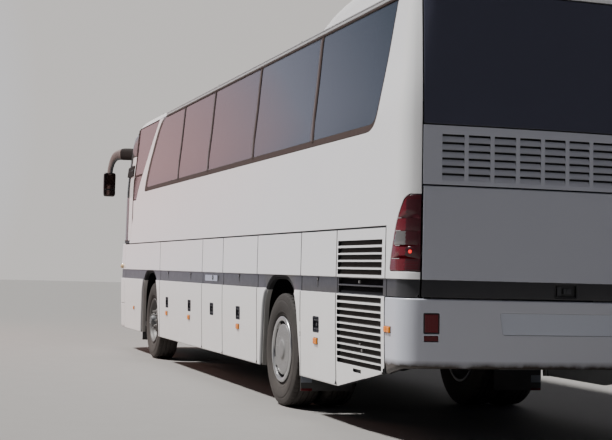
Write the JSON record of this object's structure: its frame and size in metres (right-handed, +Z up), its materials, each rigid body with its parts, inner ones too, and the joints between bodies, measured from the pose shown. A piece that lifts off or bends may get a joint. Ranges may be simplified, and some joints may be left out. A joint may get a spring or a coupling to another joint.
{
  "type": "coach bus",
  "caption": "High-floor touring coach with steered front wheels, twinned rear wheels, hinged side flaps, a rear engine hatch and outswinging passenger doors.",
  "frame": {"origin": "on the ground, at the middle of the whole vehicle's box with its mirrors", "axes": "+X forward, +Y to the vehicle's left, +Z up; the wheels roll about +Y"},
  "size_m": [12.2, 2.982, 3.6398],
  "materials": {
    "paint_white": "gloss",
    "paint_stripe": "metallic gloss",
    "glass_tinted": "gloss",
    "glass_clear": "gloss",
    "plastic_black": "matt",
    "plastic_grey": "matt",
    "lamp_red": "gloss",
    "lamp_clear": "gloss",
    "tyre_rubber": "matt",
    "rubber": "matt",
    "rim_silver": "satin",
    "chassis": "satin",
    "cast_engine": "rough",
    "floor_grey": "matt",
    "seat_fabric": "soft",
    "curtain_fabric": "soft"
  },
  "bodies": {
    "body": {"air_springs": "rubber", "arch_panels": "paint_white", "body_side_left": "paint_white", "body_side_right": "paint_white", "cab_floor": "floor_grey", "cab_windows": "glass_tinted", "curtains": "curtain_fabric", "dashboard": "plastic_black", "driver_seat": "seat_fabric", "engine_block": "cast_engine", "entrance_steps": "floor_grey", "front_axle": "chassis", "front_bumper": "paint_white", "front_panel": "paint_white", "gutters": "plastic_grey", "head_lamps": "lamp_clear", "louvre_panel": "paint_white", "luggage_hold": "chassis", "mirrors": "plastic_black", "passenger_seats": "seat_fabric", "rear_axle": "chassis", "rear_bumper": "paint_white", "rear_lamps": "lamp_red", "rear_window": "glass_tinted", "roof": "paint_white", "roof_fairing": "paint_white", "saloon_floor": "floor_grey", "side_windows": "glass_tinted", "steering_wheel": "plastic_black", "underframe": "chassis", "wheel_housings": "chassis", "windscreen": "glass_clear", "windscreen_frame": "plastic_black"},
    "knuckle_left": {"knuckle_left": "chassis"},
    "knuckle_right": {"knuckle_right": "chassis"},
    "track_rod": {"track_rod": "chassis"},
    "wheel_front_left": {"tyre_front_left": "tyre_rubber", "rim_front_left": "rim_silver"},
    "wheel_front_right": {"tyre_front_right": "tyre_rubber", "rim_front_right": "rim_silver"},
    "wheels_rear_left": {"tyres_rear_left": "tyre_rubber", "rims_rear_left": "rim_silver"},
    "wheels_rear_right": {"tyres_rear_right": "tyre_rubber", "rims_rear_right": "rim_silver"},
    "front_door": {"front_door": "paint_white", "front_door_glass": "glass_tinted"},
    "front_door_arms": {"front_door_arms": "chassis"},
    "middle_door": {"middle_door": "paint_white", "middle_door_glass": "glass_tinted"},
    "middle_door_arms": {"middle_door_arms": "chassis"},
    "engine_hatch": {"engine_hatch": "paint_white"},
    "flap_left_1": {"flap_left_1": "paint_white"},
    "flap_left_2": {"flap_left_2": "paint_white"},
    "flap_left_3": {"flap_left_3": "paint_white"},
    "flap_left_4": {"flap_left_4": "paint_white"},
    "radiator_flap_left": {"radiator_flap_left": "paint_white"},
    "flap_right_1": {"flap_right_1": "paint_white"},
    "flap_right_2": {"flap_right_2": "paint_white"},
    "flap_right_3": {"flap_right_3": "paint_white"}
  },
  "joints": [
    {"name": "steer_left", "type": "hinge", "parent": "body", "child": "knuckle_left", "pos_m": [3.305, 0.85, 0.522], "axis": [0, 0, 1], "range_deg": [-40, 40]},
    {"name": "steer_right", "type": "hinge", "parent": "body", "child": "knuckle_right", "pos_m": [3.305, -0.85, 0.522], "axis": [0, 0, 1], "range_deg": [-40, 40]},
    {"name": "track_rod_end", "type": "hinge", "parent": "knuckle_left", "child": "track_rod", "pos_m": [3.115, 0.79, 0.4], "axis": [0, 0, 1], "range_deg": [-40, 40]},
    {"name": "roll_front_left", "type": "hinge", "parent": "knuckle_left", "child": "wheel_front_left", "pos_m": [3.305, 1.032, 0.522], "axis": [0, 1, 0], "continuous": true},
    {"name": "roll_front_right", "type": "hinge", "parent": "knuckle_right", "child": "wheel_front_right", "pos_m": [3.305, -1.032, 0.522], "axis": [0, 1, 0], "continuous": true},
    {"name": "roll_rear_left", "type": "hinge", "parent": "body", "child": "wheels_rear_left", "pos_m": [-2.945, 0.899, 0.522], "axis": [0, 1, 0], "continuous": true},
    {"name": "roll_rear_right", "type": "hinge", "parent": "body", "child": "wheels_rear_right", "pos_m": [-2.945, -0.899, 0.522], "axis": [0, 1, 0], "continuous": true},
    {"name": "lift_flap_left_1", "type": "hinge", "parent": "body", "child": "flap_left_1", "pos_m": [0, 1.25, 1.59], "axis": [1, 0, 0], "range_deg": [0, 88]},
    {"name": "lift_flap_left_2", "type": "hinge", "parent": "body", "child": "flap_left_2", "pos_m": [0, 1.25, 1.59], "axis": [1, 0, 0], "range_deg": [0, 88]},
    {"name": "lift_flap_left_3", "type": "hinge", "parent": "body", "child": "flap_left_3", "pos_m": [0, 1.25, 1.59], "axis": [1, 0, 0], "range_deg": [0, 88]},
    {"name": "lift_flap_left_4", "type": "hinge", "parent": "body", "child": "flap_left_4", "pos_m": [0, 1.25, 1.59], "axis": [1, 0, 0], "range_deg": [0, 88]},
    {"name": "lift_radiator_flap_left", "type": "hinge", "parent": "body", "child": "radiator_flap_left", "pos_m": [0, 1.25, 1.59], "axis": [1, 0, 0], "range_deg": [0, 88]},
    {"name": "lift_flap_right_1", "type": "hinge", "parent": "body", "child": "flap_right_1", "pos_m": [0, -1.25, 1.59], "axis": [-1, 0, 0], "range_deg": [0, 88]},
    {"name": "lift_flap_right_2", "type": "hinge", "parent": "body", "child": "flap_right_2", "pos_m": [0, -1.25, 1.59], "axis": [-1, 0, 0], "range_deg": [0, 88]},
    {"name": "lift_flap_right_3", "type": "hinge", "parent": "body", "child": "flap_right_3", "pos_m": [0, -1.25, 1.59], "axis": [-1, 0, 0], "range_deg": [0, 88]},
    {"name": "lift_engine_hatch", "type": "hinge", "parent": "body", "child": "engine_hatch", "pos_m": [-6.089, 0, 1.88], "axis": [0, 1, 0], "range_deg": [0, 85]},
    {"name": "swing_front_door", "type": "hinge", "parent": "body", "child": "front_door_arms", "pos_m": [4.86, -1.142, 1], "axis": [0, 0, 1], "range_deg": [0, 159.98]},
    {"name": "square_front_door", "type": "hinge", "parent": "front_door_arms", "child": "front_door", "pos_m": [4.40053, -1.12, 1], "axis": [0, 0, 1], "range_deg": [-160.08, 0.1]},
    {"name": "swing_middle_door", "type": "hinge", "parent": "body", "child": "middle_door_arms", "pos_m": [-1.92, -1.142, 1], "axis": [0, 0, -1], "range_deg": [0, 155.94]},
    {"name": "square_middle_door", "type": "hinge", "parent": "middle_door_arms", "child": "middle_door", "pos_m": [-1.53262, -1.12, 1], "axis": [0, 0, -1], "range_deg": [-156.04, 0.1]}
  ],
  "couplings": [
    {"joint": "steer_right", "follows": "steer_left", "ratio": 1},
    {"joint": "track_rod_end", "follows": "steer_left", "ratio": -1},
    {"joint": "square_front_door", "follows": "swing_front_door", "ratio": -1},
    {"joint": "square_middle_door", "follows": "swing_middle_door", "ratio": -1}
  ]
}
